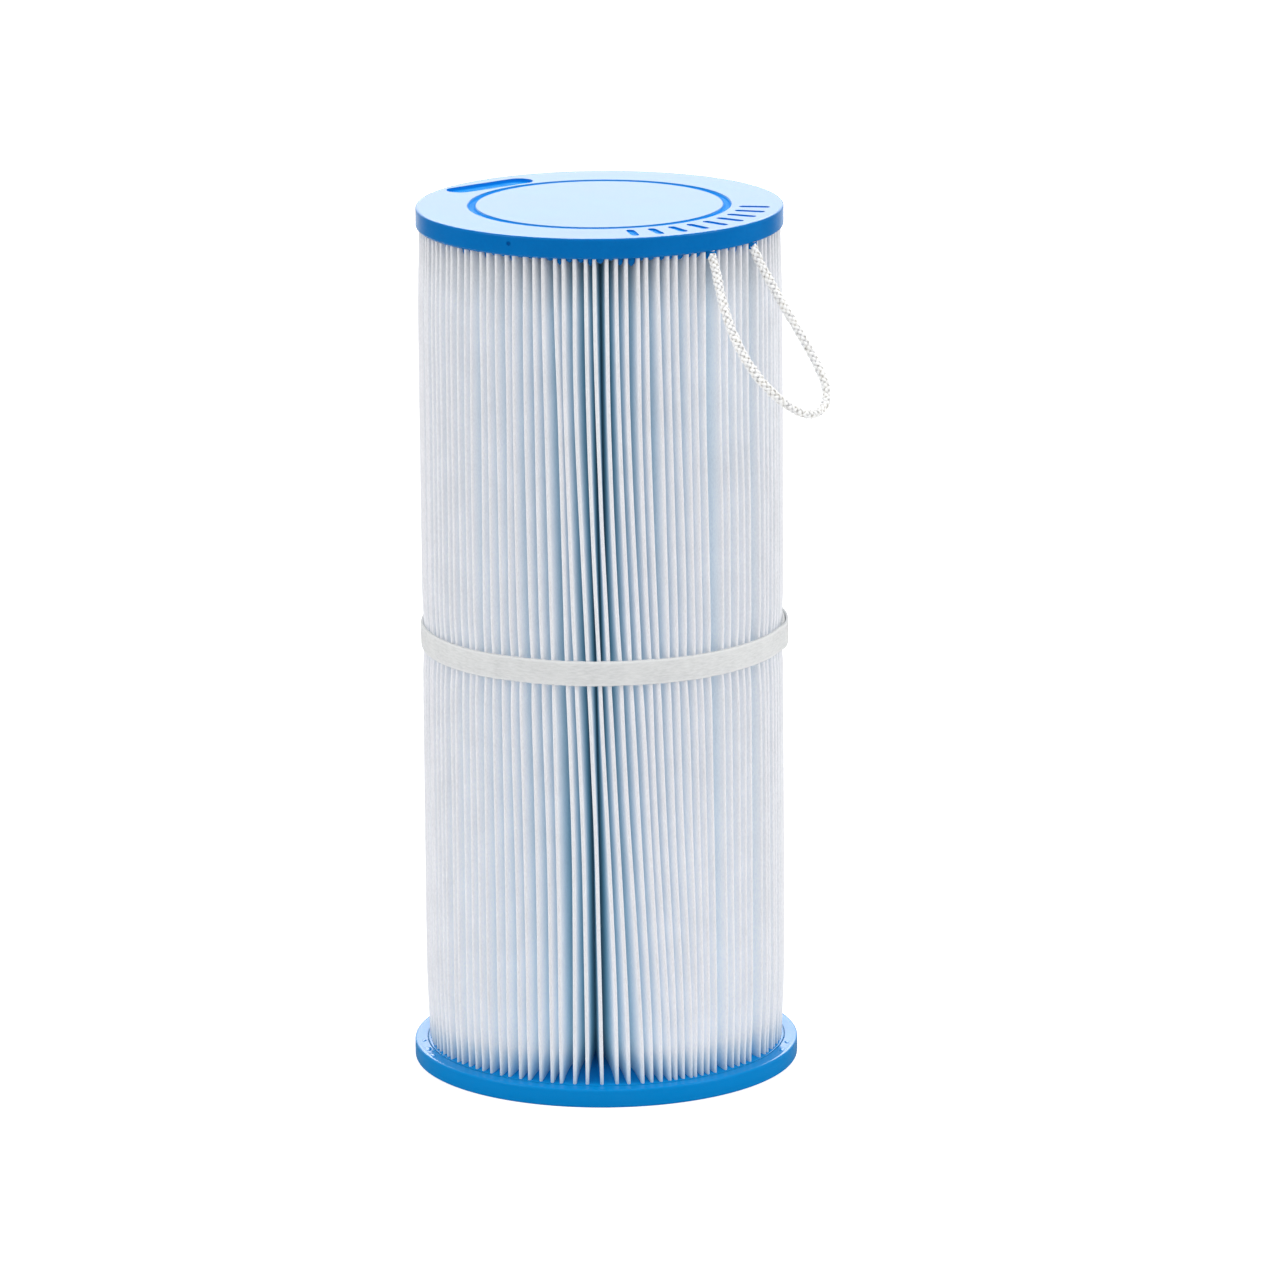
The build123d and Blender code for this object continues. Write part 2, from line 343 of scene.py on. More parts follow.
def add_bump(tree, shader, heights):
    """Bump nodes in a chain, one for each (height socket, distance, strength)."""
    normal = None
    for height, distance, strength in heights:
        made = node(tree, "Bump")
        made.inputs["Distance"].default_value = distance
        made.inputs["Strength"].default_value = strength
        tree.links.new(height, made.inputs["Height"])
        if normal:
            tree.links.new(normal, made.inputs["Normal"])
        normal = made.outputs[0]
    tree.links.new(normal, shader.inputs["Normal"])


# ---------------------------------------------------------------- materials


def urethane_material():
    """Cast blue urethane: satin skin, faint clouding and flow marks.

    It is painted lighter in the bottom cap, a painted glow for light from the white floor below, and in what
    is cut into the top face, a painted highlight for light falling into it.
    """
    mat, tree, shader = new_material("urethane_blue")
    place = object_coordinates(tree)
    clouds = noise(tree, place, 55, 3)
    grain = noise(tree, place, 900, 2)
    colour = mixed(tree, remap(tree, clouds, 0.35, 0.65, 0, 1), (0.0, 0.156, 0.495), (0.0, 0.168, 0.525))
    colour = mixed(tree, remap(tree, grain, 0.3, 0.7, 0, 0.10), colour, (0.0, 0.26, 0.70))
    height = part_of(tree, place, "Z")
    # Painted glow: the bottom cap is painted a lighter blue for light from the white floor below it.
    painted_floor_glow = remap(tree, height, 0.01, 0.02, 1, 0)
    colour = mixed(tree, painted_floor_glow, colour, (0.0, 0.260, 0.68))
    top = TOP_FACE * MM
    below_face = remap(tree, height, top - 0.0004, top - 0.0001, 1, 0)
    inside_rim = remap(tree, from_axis(tree, place), RIM_INSIDE * MM, RIM_OUTSIDE * MM, 1, 0)
    cut_in_rough_and_painted_light = math_node(tree, "MULTIPLY", below_face, inside_rim)
    near_top = remap(tree, height, top - 0.003, top - 0.002, 0, 1)
    cut_in_rough_and_painted_light = math_node(tree, "MULTIPLY", cut_in_rough_and_painted_light, near_top)
    # Painted highlight: what is cut into the top face is painted a lighter blue for the light falling into
    # it; it is also made rougher below.
    tree.links.new(mixed(tree, cut_in_rough_and_painted_light, colour, (0.0, 0.27, 0.80)), shader.inputs["Base Color"])
    shader.inputs["Sheen Weight"].default_value = 0.22
    shader.inputs["Sheen Roughness"].default_value = 0.4
    shader.inputs["Sheen Tint"].default_value = (0.0, 0.50, 0.95, 1)
    shader.inputs["Specular IOR Level"].default_value = 0.12
    rough = math_node(tree, "MULTIPLY", cut_in_rough_and_painted_light, 0.5)
    rough = math_node(tree, "ADD", rough, remap(tree, clouds, 0.3, 0.7, 0.13, 0.19))
    tree.links.new(rough, shader.inputs["Roughness"])
    flow = noise(tree, scaled(tree, place, (60, 60, 420)), 1, 2)
    add_bump(tree, shader, [(flow, 0.0002, 0.08), (grain, 0.00004, 0.2)])
    return mat


def media_material():
    """Spun polyester felt: white at the folds, with painted shade making it bluer and darker in the gaps, and
    a painted glow for the light that soaks through it.
    """
    mat, tree, shader = new_material("pleat_felt")
    place = object_coordinates(tree)
    radius = from_axis(tree, place)
    height = part_of(tree, place, "Z")
    depth = remap(tree, radius, 0.030, 0.0622, 0, 1)
    # Painted shade: the felt is painted darker and bluer the deeper it lies between the folds.
    tone_with_painted_shade = ramp(tree, depth, [
        (0.0, (0.17, 0.30, 0.42)),
        (0.45, (0.50, 0.67, 0.77)),
        (0.80, (0.80, 0.86, 0.91)),
        (0.93, (0.86, 0.88, 0.905)),
        (1.0, (0.88, 0.88, 0.905)),
    ])
    # Painted glow: emission standing in for the light that soaks through the felt, set by how deep it lies.
    through = ramp(tree, depth, [
        (0.0, (0.003, 0.020, 0.032)),
        (0.45, (0.034, 0.074, 0.098)),
        (0.75, (0.090, 0.124, 0.153)),
        (0.90, (0.130, 0.150, 0.178)),
        (0.97, (0.150, 0.158, 0.175)),
        (1.0, (0.070, 0.071, 0.075)),
    ])
    # Painted shade: the painted glow fades under the top cap and over the bottom cap, and is painted stronger
    # low down.
    under_cap = remap(tree, height, CAP_UNDERSIDE * MM, (CAP_UNDERSIDE - 20) * MM, 0, 1)
    over_cap = remap(tree, height, BOTTOM_TOP * MM, (BOTTOM_TOP + 13) * MM, 0.1, 1)
    glow_brighter_low = remap(tree, height, 0.02, 0.14, 1.35, 1)
    over_cap = math_node(tree, "MULTIPLY", over_cap, glow_brighter_low)
    glow = node(tree, "VectorMath", operation="SCALE")
    tree.links.new(through, glow.inputs[0])
    tree.links.new(math_node(tree, "MULTIPLY", under_cap, over_cap), glow.inputs["Scale"])
    tree.links.new(glow.outputs[0], shader.inputs["Emission Color"])
    shader.inputs["Emission Strength"].default_value = 0.62
    fibre = noise(tree, scaled(tree, place, (1, 1, 0.45)), 1900, 3, 0.65)
    speckle = remap(tree, fibre, 0.32, 0.68, 0.93, 1.04)
    blotch = remap(tree, noise(tree, place, 90, 3), 0.3, 0.7, 0.965, 1.02)
    shade = math_node(tree, "MULTIPLY", speckle, blotch)
    colour = node(tree, "VectorMath", operation="SCALE")
    tree.links.new(tone_with_painted_shade, colour.inputs[0])
    tree.links.new(shade, colour.inputs["Scale"])
    # Painted bounce light: felt just above the bottom cap, most deep in the gaps, is painted azure for the
    # light thrown up by the blue cap.
    near_ledge = remap(tree, height, BOTTOM_TOP * MM, (BOTTOM_TOP + 10) * MM, 1, 0)
    inward = remap(tree, radius, 0.0585, 0.0612, 0.85, 0.2)
    painted_blue_bounce = math_node(tree, "MULTIPLY", near_ledge, inward)
    tree.links.new(mixed(tree, painted_blue_bounce, colour.outputs[0], (0.0, 0.48, 0.82)), shader.inputs["Base Color"])
    shader.inputs["Roughness"].default_value = 0.85
    shader.inputs["Specular IOR Level"].default_value = 0.03
    shader.inputs["Sheen Weight"].default_value = 0.08
    add_bump(tree, shader, [(noise(tree, place, 420, 2), 0.0002, 0.25), (fibre, 0.00012, 0.55)])
    return mat


def band_material():
    """The strap: white felted strip with fibres along it and pressed edges."""
    mat, tree, shader = new_material("strap_felt")
    place = object_coordinates(tree)
    run = node(tree, "Attribute", attribute_name="strip").outputs["Vector"]
    fibre = noise(tree, scaled(tree, run, (350, 1500, 1)), 1, 4, 0.6)
    from_middle = math_node(tree, "ABSOLUTE", part_of(tree, run, "Y"))
    edge = remap(tree, from_middle, 0.0032, 0.0039, 0, 1)
    body = mixed(tree, remap(tree, fibre, 0.35, 0.65, 0, 1), (0.71, 0.725, 0.72), (0.84, 0.85, 0.85))
    patches = remap(tree, noise(tree, place, 160, 3), 0.35, 0.7, 0, 0.5)
    pressed = mixed(tree, edge, mixed(tree, patches, body, (0.88, 0.89, 0.88)), (0.86, 0.87, 0.87))
    cut = remap(tree, from_middle, 0.0040, 0.0042, 0, 1)
    tree.links.new(mixed(tree, cut, pressed, (0.70, 0.71, 0.71)), shader.inputs["Base Color"])
    shader.inputs["Roughness"].default_value = 0.72
    shader.inputs["Specular IOR Level"].default_value = 0.05
    shader.inputs["Sheen Weight"].default_value = 0.1
    add_bump(tree, shader, [(noise(tree, place, 300, 2), 0.0003, 0.3), (fibre, 0.00015, 0.6)])
    return mat


def cord_material():
    """Braided yarn: bright filaments, each yarn painted bright on its crown with grey painted shade between
    the yarns, and a painted glow.
    """
    mat, tree, shader = new_material("cord_yarn")
    along = node(tree, "Attribute", attribute_name="yarn").outputs["Vector"]
    filaments = noise(tree, scaled(tree, along, (500, 9, 9)), 1, 2)
    # Painted light and shade: each yarn is painted bright on its crown and grey between the yarns, warmer in
    # places.
    painted_crown_light = part_of(tree, along, "Z")
    warm = noise(tree, object_coordinates(tree), 380, 2)
    low = mixed(tree, remap(tree, warm, 0.4, 0.65, 0, 1), (0.66, 0.66, 0.67), (0.76, 0.73, 0.66))
    colour = mixed(tree, painted_crown_light, low, (0.96, 0.96, 0.955))
    colour = mixed(tree, remap(tree, filaments, 0.35, 0.65, 0, 0.35), colour, (0.74, 0.75, 0.76))
    tree.links.new(colour, shader.inputs["Base Color"])
    shader.inputs["Roughness"].default_value = 0.5
    shader.inputs["Specular IOR Level"].default_value = 0.1
    shader.inputs["Sheen Weight"].default_value = 0.3
    # Painted glow: the yarn emits light, most on its crowns.
    glow = mixed(tree, painted_crown_light, (0.05, 0.05, 0.052), (0.25, 0.25, 0.24))
    tree.links.new(glow, shader.inputs["Emission Color"])
    shader.inputs["Emission Strength"].default_value = 1.0
    add_bump(tree, shader, [(filaments, 0.0001, 0.6)])
    return mat


def core_material():
    """White moulded polypropylene core."""
    mat, tree, shader = new_material("core_plastic")
    place = object_coordinates(tree)
    clouds = noise(tree, place, 120, 3)
    colour = mixed(tree, remap(tree, clouds, 0.3, 0.7, 0, 1), (0.78, 0.79, 0.78), (0.86, 0.87, 0.86))
    tree.links.new(colour, shader.inputs["Base Color"])
    tree.links.new(remap(tree, clouds, 0.3, 0.7, 0.32, 0.48), shader.inputs["Roughness"])
    add_bump(tree, shader, [(noise(tree, scaled(tree, place, (90, 90, 700)), 1, 2), 0.0001, 0.25)])
    return mat


def bead_material():
    """Cloudy hot-melt adhesive."""
    mat, tree, shader = new_material("seam_adhesive")
    place = object_coordinates(tree)
    clouds = noise(tree, place, 260, 3)
    colour = mixed(tree, remap(tree, clouds, 0.3, 0.7, 0, 1), (0.78, 0.74, 0.62), (0.88, 0.86, 0.78))
    tree.links.new(colour, shader.inputs["Base Color"])
    shader.inputs["Roughness"].default_value = 0.28
    shader.inputs["Subsurface Weight"].default_value = 0.2
    add_bump(tree, shader, [(clouds, 0.0004, 0.4)])
    return mat


def toward_back(tree, place):
    """1 in the directions near +Y, where the bright backdrop stands, and 0 elsewhere."""
    flat = node(tree, "VectorMath", operation="NORMALIZE")
    tree.links.new(scaled(tree, place, (1, 1, 0)), flat.inputs[0])
    return remap(tree, part_of(tree, flat.outputs[0], "Y"), 0.72, 0.96, 0, 1)


def floor_material():
    """White floor that glows to the eye and in reflections, and lights the object less."""
    mat, tree, shader = new_material("studio_floor")
    shader.inputs["Roughness"].default_value = 0.7
    shader.inputs["Emission Color"].default_value = (1, 1, 1, 1)
    rays = node(tree, "LightPath")
    base = mixed(tree, rays.outputs["Is Glossy Ray"], (0.82, 0.82, 0.83), (0.10, 0.10, 0.10))
    tree.links.new(base, shader.inputs["Base Color"])
    back = toward_back(tree, object_coordinates(tree))
    reflected = math_node(tree, "MULTIPLY", back, rays.outputs["Is Glossy Ray"])
    reflected = math_node(tree, "MULTIPLY", reflected, FLOOR_GLOW)
    seen = math_node(tree, "MULTIPLY", rays.outputs["Is Camera Ray"], FLOOR_GLOW)
    tree.links.new(math_node(tree, "ADD", reflected, seen), shader.inputs["Emission Strength"])
    return mat


# ---------------------------------------------------------------- pleated sheet


def tip_azimuths():
    """The tips' azimuths in the caps, as the CAD model spaces them."""
    between_pitch = (REAR_EXIT - FRONT_EXIT - EXIT_GAP_ANGLE) / (PLEATS_BETWEEN_EXITS - 1)
    first_between = FRONT_EXIT + EXIT_GAP_ANGLE / 2
    between = [first_between + n * between_pitch for n in range(PLEATS_BETWEEN_EXITS)]
    others = PLEATS - PLEATS_BETWEEN_EXITS
    first_other = REAR_EXIT + EXIT_GAP_ANGLE / 2
    other_pitch = (360 + FRONT_EXIT - REAR_EXIT - EXIT_GAP_ANGLE) / (others - 1)
    rest = []
    for n in range(others):
        uneven = 0.35 * math.sin(2.4 * n) if 0 < n < others - 1 else 0.0
        rest.append(first_other + n * other_pitch + uneven)
    return np.array(between + rest)


def from_azimuth(azimuth, middle):
    """How far an azimuth is from another, from -180 to 180."""
    return (azimuth - middle + 180) % 360 - 180


def sheet_levels():
    """Heights of the sheet's rows, closer together at the caps and the strap."""
    foot, head = 22, 276
    strap_low, strap_high = BAND_LOW, BAND_LOW + BAND_WIDTH
    spans = [
        (SHEET_LOW, BOTTOM_TOP, 1),
        (BOTTOM_TOP, foot, 5),
        (foot, strap_low - 10, 13),
        (strap_low - 10, strap_low, 5),
        (strap_low, strap_high, 2),
        (strap_high, strap_high + 10, 5),
        (strap_high + 10, head, 13),
        (head, CAP_UNDERSIDE, 5),
        (CAP_UNDERSIDE, SHEET_HIGH, 1),
    ]
    rows = [np.linspace(low, high, count, endpoint=False) for low, high, count in spans]
    return np.append(np.concatenate(rows), SHEET_HIGH)


def wandering(random, levels, count, slow):
    """A smooth random wave up the height for each pleat, about -1 to 1: [levels, count]."""
    total = np.zeros((len(levels), count))
    for wave in range(1, slow + 1):
        size = random.normal(0, 1, count) / wave
        phase = random.uniform(0, 2 * np.pi, count)
        total += size * np.sin(wave * np.pi * levels[:, None] / SHEET_HIGH + phase)
    return np.clip(total / 1.3, -1.6, 1.6)


def fold_places(levels):
    """Azimuth and radius of the tips and valleys at each level: four arrays [levels, pleats]."""
    random = np.random.default_rng(SEED)
    tips = tip_azimuths()
    z = levels[:, None]
    free = smooth_step(CAP_UNDERSIDE - z, 0, 60)
    loose = free * (1 - 0.55 * bump(z, BAND_LOW + BAND_WIDTH / 2, 14))
    away_from_seam = 1 - bump(from_azimuth(tips, SEAM_AZIMUTH), 0, 9)
    front = from_azimuth(tips, LEAN_AZIMUTH)
    lean = LEAN * bump(front, 0, np.where(front < 0, LEAN_REACH_LEFT, LEAN_REACH_RIGHT))
    lean = lean * smooth_step(CAP_UNDERSIDE - z, 0, 300)
    fan = np.tanh((front - FAN_MIDDLE) / 6) * bump(front, 0, 22)
    spread = FAN_OUT * fan * smooth_step(FAN_HEIGHT - z, 0, FAN_HEIGHT)
    stray = STRAY * wandering(random, levels, PLEATS, 3) * loose
    kinks = KINK * wandering(random, levels, PLEATS, 12) * loose
    tip_azimuth = tips + (lean + spread + stray + kinks) * away_from_seam
    base = tips + lean * 0.5 * away_from_seam
    after = np.roll(base, -1, 1)
    after[:, -1] += 360
    valley_azimuth = (base + after) / 2

    strap = bump(z, BAND_LOW + BAND_WIDTH / 2, 9)
    belly = BELLY * smooth_step(CAP_UNDERSIDE - z, 0, 30) * smooth_step(z, BOTTOM_TOP, BOTTOM_TOP + 30)
    under_cord = bump(from_azimuth(tips, (FRONT_EXIT + REAR_EXIT) / 2), 0, 22) * smooth_step(z, 200, 240)
    ragged = RAGGED * wandering(random, levels, PLEATS, 2) * free * (1 - strap)
    tip_radius = TIP_RADIUS + (belly + ragged) * (1 - strap) * (1 - under_cord) - 0.1 * strap
    tip_radius = tip_radius - 0.35 * bump(z, BOTTOM_TOP, 9)
    valley_radius = np.full_like(tip_radius, VALLEY_RADIUS)
    return tip_azimuth, tip_radius, valley_azimuth, valley_radius


def flank_normals(start, end, turn):
    """Left-hand unit normals of the flanks between fold centres that they pass on opposite sides."""
    line = end - start
    length = np.linalg.norm(line, axis=-1)
    heading = np.arctan2(line[..., 1], line[..., 0]) + turn * np.arcsin(2 * FOLD_RADIUS / length)
    return np.stack([-np.sin(heading), np.cos(heading)], -1)


def fold_arc(centre, start, end, steps, way):
    """Points and directions round a fold from one direction to another, turning way."""
    first = np.arctan2(start[..., 1], start[..., 0])
    turn = (np.arctan2(end[..., 1], end[..., 0]) - first) * way % (2 * np.pi) * way
    angle = first[..., None] + turn[..., None] * np.linspace(0, 1, steps)
    direction = np.stack([np.cos(angle), np.sin(angle)], -1)
    return centre[..., None, :] + direction * FOLD_RADIUS, direction


def pleated_sheet():
    """The folded sheet as one closed skin, with wandering tips and bowed flanks."""
    levels = sheet_levels()
    tip_az, tip_r, valley_az, valley_r = fold_places(levels)
    tip = on_circle(tip_r, tip_az)[..., :2]
    valley = on_circle(valley_r, valley_az)[..., :2]
    before = np.roll(valley, 1, 1)
    following = np.roll(tip, -1, 1)
    rise = flank_normals(before, tip, -1)
    fall = flank_normals(tip, valley, 1)
    next_rise = flank_normals(valley, following, -1)

    random = np.random.default_rng(SEED + 1)
    bow = BOW * wandering(random, levels, PLEATS, 4) * smooth_step(CAP_UNDERSIDE - levels, 0, 40)[:, None]
    steps = np.array(FLANK_SHARES)[:, None]

    def flank(start, end, outward, side, shares):
        run = start[..., None, :] + (end - start)[..., None, :] * shares
        bowed = side * bow[..., None, None] * np.sin(np.pi * shares) * outward[..., None, :]
        return run + bowed, np.broadcast_to(outward[..., None, :], run.shape)

    parts = [
        flank(before + rise * FOLD_RADIUS, tip - rise * FOLD_RADIUS, -rise, -1, steps),
        fold_arc(tip, -rise, -fall, TIP_STEPS, 1),
        flank(tip - fall * FOLD_RADIUS, valley + fall * FOLD_RADIUS, -fall, 1, 1 - steps[::-1]),
        fold_arc(valley, fall, next_rise, VALLEY_STEPS, -1),
    ]
    middle = np.concatenate([p for p, _ in parts], 2)
    outward = np.concatenate([parts[0][1], parts[1][1], parts[2][1], -parts[3][1]], 2)
    columns = PLEATS * middle.shape[2]
    height = np.broadcast_to(levels[:, None, None], (len(levels), columns, 1))
    skins = []
    for side in (HALF_SHEET, -HALF_SHEET):
        face = (middle + outward * side).reshape(len(levels), columns, 2)
        skins.append(np.concatenate([face, height], -1).reshape(-1, 3))
    per_skin = len(levels) * columns
    faces = grid_faces(len(levels), columns, 0, False, True)
    faces += grid_faces(len(levels), columns, per_skin, False, True, True)
    top = per_skin - columns
    ring = np.arange(columns)
    after = (ring + 1) % columns
    for row, flip in ((0, True), (top, False)):
        rim = np.stack([row + ring, row + after, per_skin + row + after, per_skin + row + ring], 1)
        faces += (rim[:, ::-1] if flip else rim).tolist()
    return new_mesh("pleated_sheet", np.concatenate(skins), faces)


def seam_glue(tips):
    """Uneven bead of hot melt, its outer face drawn up along the two flanks that it joins."""
    random = np.random.default_rng(SEED + 5)
    gaps = (tips + np.append(tips[1:], tips[0] + 360)) / 2
    middle = gaps[np.argmin(np.abs(from_azimuth(gaps, SEAM_AZIMUTH)))]
    levels = np.linspace(BOTTOM_TOP, CAP_UNDERSIDE, 190)
    waves = [(0.55, 0.045), (0.40, 0.11), (0.30, 0.27), (0.20, 0.61)]
    ripple = sum(size * np.sin(pace * levels + random.uniform(0, 6)) for size, pace in waves)
    tilt = 0.35 * np.sin(0.08 * levels + random.uniform(0, 6)) + 0.2 * np.sin(0.33 * levels)
    across = np.linspace(-1, 1, 9)
    points = []
    for level, swell, lean in zip(levels, ripple, tilt):
        face = GLUE_OUTER - 0.6 + swell + 1.1 * across**4 + lean * across
        points += [on_circle(GLUE_INNER, middle + math.degrees(side * GLUE_HALF_INNER / GLUE_INNER), level)
                   for side in (1, -1)]
        points += [on_circle(r, middle + math.degrees(side * GLUE_HALF_OUTER / GLUE_OUTER), level)
                   for side, r in zip(across, face)]
    columns = len(across) + 2
    faces = grid_faces(len(levels), columns, 0, False, True)
    faces.append(list(range(columns))[::-1])
    faces.append([(len(levels) - 1) * columns + n for n in range(columns)])
    return new_mesh("seam_glue", points, faces)


# ---------------------------------------------------------------- caps


def bottom_cap():
    """Bottom cap as a turned ring with soft edges, its urethane drawn up between the pleats."""
    profile = rounded([
        (BORE_RADIUS, BOTTOM_TOP, BORE_EDGE),
        (28.4, BOTTOM_TOP, 0.3),
        (31.3, BOTTOM_TOP, 0.3),
        (31.6, BOTTOM_TOP + WICKED_UP, 0.1),
        (52.0, BOTTOM_TOP + WICKED_UP, 4.0),
        (60.9, BOTTOM_TOP + 0.15, 1.2),
        (62.6, BOTTOM_TOP - 0.05, 0.6),
        (64.8, BOTTOM_TOP - 0.12, 0.4),
        (BOTTOM_RADIUS, BOTTOM_TOP - 0.05, CAP_EDGE),
        (BOTTOM_RADIUS, 0, CAP_EDGE),
        (RELIEF_OUTER, 0, 0.2),
        (RELIEF_OUTER - 0.3, RELIEF_DEPTH, 0.2),
        (RELIEF_INNER + 0.3, RELIEF_DEPTH, 0.2),
        (RELIEF_INNER, 0, 0.2),
        (BORE_RADIUS, 0, BORE_EDGE),
    ])
    return lathe("bottom_cap", profile[::-1], 288)


def add_dome(points, faces, place):
    """One closed dome: place gives its point at a level from 0 to 1, a spread and a turn."""
    start = len(points)
    for level in np.linspace(0, 1, LUMP_RINGS):
        spread = math.sqrt(1 - 0.985 * level**2)
        for step in range(LUMP_SIDES):
            points.append(place(level, spread, 2 * np.pi * step / LUMP_SIDES))
    faces += grid_faces(LUMP_RINGS, LUMP_SIDES, start, False, True, True)
    last = start + (LUMP_RINGS - 1) * LUMP_SIDES
    faces.append([last + n for n in range(LUMP_SIDES)][::-1])
    faces.append([start + n for n in range(LUMP_SIDES)])


def urethane_lumps(tips):
    """Runs of urethane between the pleats under the rim of the top cap, and beads on the ledge below."""
    random = np.random.default_rng(SEED + 2)
    following = np.append(tips[1:], tips[0] + 360)
    points, faces = [], []
    centre = TOP_RADIUS - LUMP_INSET - LUMP_DEPTH / 2
    for first, second in zip(tips, following):
        middle = (first + second) / 2 + random.normal(0, 0.1)
        gap = np.radians(second - first) * TOP_RADIUS - 0.9
        drop = 1.0 + 2.4 * random.random() ** 1.5 + max(0.0, gap - 3.4) * 0.6

        def on_run(level, spread, turn):
            out = centre + LUMP_DEPTH / 2 * spread * math.cos(turn)
            aside = math.degrees(gap / 2 * spread * math.sin(turn) / TOP_RADIUS)
            return on_circle(out, middle + aside, CAP_UNDERSIDE + 0.15 - drop * level)

        add_dome(points, faces, on_run)
    for azimuth, radius, length, width, height in LEDGE_BEADS:

        def on_bead(level, spread, turn):
            along = azimuth + math.degrees(length / 2 * spread * math.cos(turn) / radius)
            out = radius + width / 2 * spread * math.sin(turn + 0.6 * math.cos(turn))
            return on_circle(out, along, BOTTOM_TOP - 0.4 + (height + 0.4) * level)

        add_dome(points, faces, on_bead)
    return new_mesh("urethane_lumps", points, faces)


# ---------------------------------------------------------------- strap


def strap():
    """One strip wound round the pleats, its outer end lapped over its inner end."""
    start, end = LAP_FROM, LAP_TO + 360
    count = 390
    azimuths = np.linspace(start, end, count)
    lift = LAP_RISE * smooth_step(azimuths, 360 + LAP_FROM - 9, 360 + LAP_FROM + 1)
    inner = BAND_INNER + lift
    slack = LAP_SLACK * bump(azimuths, end, 5)
    random = np.random.default_rng(SEED + 3)
    waver = np.zeros(count)
    for waves in (2, 3, 5, 9):
        size = random.normal(0, FRAY)
        waver += size * np.sin(waves * np.radians(azimuths) + random.uniform(0, 6))
    section = np.array(rounded([
        (0, -BAND_WIDTH / 2, 0.2),
        (BAND_THICK * 0.86, -BAND_WIDTH / 2, 0.3),
        (BAND_THICK, -BAND_WIDTH / 2 + 1.3, 0.5),
        (BAND_THICK, BAND_WIDTH / 2 - 1.3, 0.5),
        (BAND_THICK * 0.86, BAND_WIDTH / 2, 0.3),
        (0, BAND_WIDTH / 2, 0.2),
    ], 3))
    middle = BAND_LOW + BAND_WIDTH / 2
    frayed = random.normal(0, FRAY, (count, len(section)))
    points, strip = [], []
    for azimuth, radius, side, out, fray in zip(azimuths, inner, waver, slack, frayed):
        end_taper = min(1.0, (azimuth - start) / 0.25 + 0.25, (end - azimuth) / 0.25 + 0.25)
        for (r, z), loose in zip(section, fray):
            height = middle + side + loose + z * (0.97 + 0.03 * end_taper)
            points.append(on_circle(radius + out + r * end_taper, azimuth, height))
            strip.append((math.radians(azimuth) * BAND_INNER * MM, z * MM, 0))
    faces = grid_faces(count, len(section), 0, False, True, True)
    faces.append(list(range(len(section))))
    faces.append([(count - 1) * len(section) + n for n in range(len(section))][::-1])
    obj = new_mesh("strap", points, faces)
    obj.data.attributes.new("strip", "FLOAT_VECTOR", "POINT").data.foreach_set("vector", np.ravel(strip))
    return obj


# ---------------------------------------------------------------- cord


def loop_axes():
    """Middle of the line between the exits, along that line, and down the loop, in millimetres."""
    half = math.radians(REAR_EXIT - FRONT_EXIT) / 2
    outward = Vector(on_circle(1.0, (REAR_EXIT + FRONT_EXIT) / 2).tolist())
    along = Vector((-outward.y, outward.x, 0))
    tilt = math.radians(LOOP_TILT)
    down = outward * math.sin(tilt) - Vector((0, 0, math.cos(tilt)))
    middle = outward * EXIT_RADIUS * math.cos(half) + Vector((0, 0, CAP_UNDERSIDE))
    return middle, along, down


def cord_centreline():
    """Points of the route's NURBS spline, in millimetres."""
    middle, along, down = loop_axes()
    data = bpy.data.curves.new("cord_route", "CURVE")
    data.dimensions = "3D"
    data.resolution_u = 24
    spline = data.splines.new("NURBS")
    spline.points.add(len(CORD_ROUTE) - 1)
    for point, (s, q) in zip(spline.points, CORD_ROUTE):
        point.co = (*((middle + along * s + down * q) * MM), 1)
    spline.order_u = 3
    spline.use_endpoint_u = True
    holder = bpy.data.objects.new("cord_route", data)
    bpy.context.scene.collection.objects.link(holder)
    mesh = bpy.data.meshes.new_from_object(holder)
    line = np.array([v.co[:] for v in mesh.vertices]) / MM
    bpy.data.objects.remove(holder)
    bpy.data.meshes.remove(mesh)
    return line


def evenly(line, step):
    """The line's points at equal steps along it."""
    runs = np.linalg.norm(np.diff(line, axis=0), axis=1)
    travelled = np.concatenate([[0], np.cumsum(runs)])
    places = np.linspace(0, travelled[-1], int(round(travelled[-1] / step)) + 1)
    return np.stack([np.interp(places, travelled, line[:, k]) for k in range(3)], 1), places


